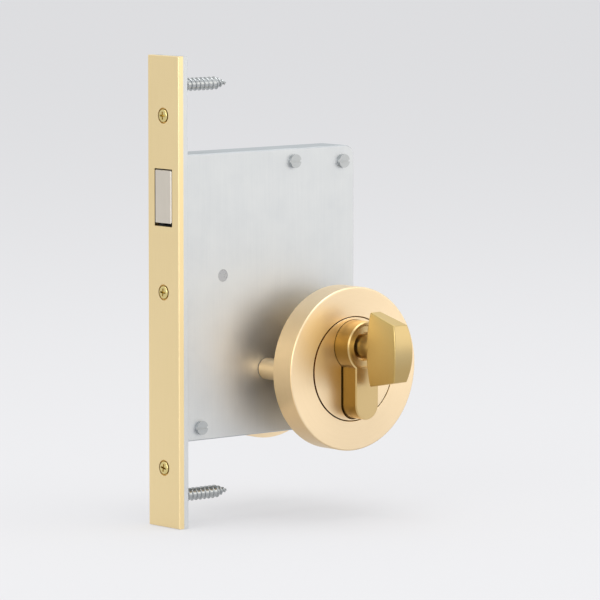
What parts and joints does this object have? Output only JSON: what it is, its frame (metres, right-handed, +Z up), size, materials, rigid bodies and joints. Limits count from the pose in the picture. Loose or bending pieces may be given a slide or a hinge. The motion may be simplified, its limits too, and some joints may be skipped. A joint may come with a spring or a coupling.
{
  "type": "sliding door lock",
  "caption": "Sliding door hook lock: flat brass edge plate, mortise case with a swinging hook bolt, and a profile cylinder with a thumb turn between round roses.",
  "frame": {"origin": "middle of the faceplate's front face, in the plane of the door edge", "axes": "+X into the door from its edge, -Y out of the face with the thumb turn, +Z up along the faceplate"},
  "size_m": [0.0878, 0.0853, 0.156],
  "materials": {
    "plate_brass": "satin, fine brushed along the length",
    "screw_brass": "bright brass",
    "rose_brass": "satin, brushed round the centre",
    "cylinder_brass": "satin brass",
    "turn_brass": "satin brass",
    "zinc_steel": "bright zinc plated sheet",
    "fastener_steel": "zinc plated",
    "bolt_nickel": "satin nickel",
    "pin_steel": "turned steel",
    "slide_steel": "stamped and sintered steel",
    "spring_steel": "blued spring steel"
  },
  "bodies": {
    "lock_case": {"faceplate": "plate_brass", "faceplate_screws": "screw_brass", "front_rose_ring": "rose_brass", "front_rose_base": "rose_brass", "rear_rose_ring": "rose_brass", "rear_rose_base": "rose_brass", "cylinder_body": "cylinder_brass", "forend": "zinc_steel", "case_body": "zinc_steel", "case_cover": "zinc_steel", "forend_screws": "fastener_steel", "cylinder_screw": "fastener_steel", "cover_screws": "fastener_steel", "case_pillars": "fastener_steel", "rose_bolts": "fastener_steel", "hook_pivot": "pin_steel", "pivot_washers": "pin_steel", "guide_posts": "pin_steel", "spring_post": "pin_steel", "detent_spring": "spring_steel"},
    "turn": {"thumb_turn": "turn_brass", "turn_plug": "cylinder_brass", "turn_pin": "pin_steel", "spindle": "pin_steel", "cam": "slide_steel", "release_plug": "cylinder_brass", "circlips": "spring_steel"},
    "slide": {"drive_slide": "slide_steel", "drive_pin": "pin_steel"},
    "hook": {"hook_bolt": "bolt_nickel"}
  },
  "joints": [
    {"name": "turn", "type": "hinge", "parent": "lock_case", "child": "turn", "pos_m": [0.06, 0, -0.0196], "axis": [0, 1, 0], "range_deg": [0, 90]},
    {"name": "slide", "type": "slide", "parent": "lock_case", "child": "slide", "axis": [1, 0, 0], "range_m": [0, 0.01796], "deforming": ["detent_spring"]},
    {"name": "hook", "type": "hinge", "parent": "lock_case", "child": "hook", "pos_m": [0.02, 0, 0.0048], "axis": [0, -1, 0], "range_deg": [0, 50]}
  ],
  "couplings": [
    {"joint": "slide", "follows": "turn", "m_per_rad": 0.011433},
    {"joint": "hook", "follows": "turn", "ratio": 0.5555}
  ]
}
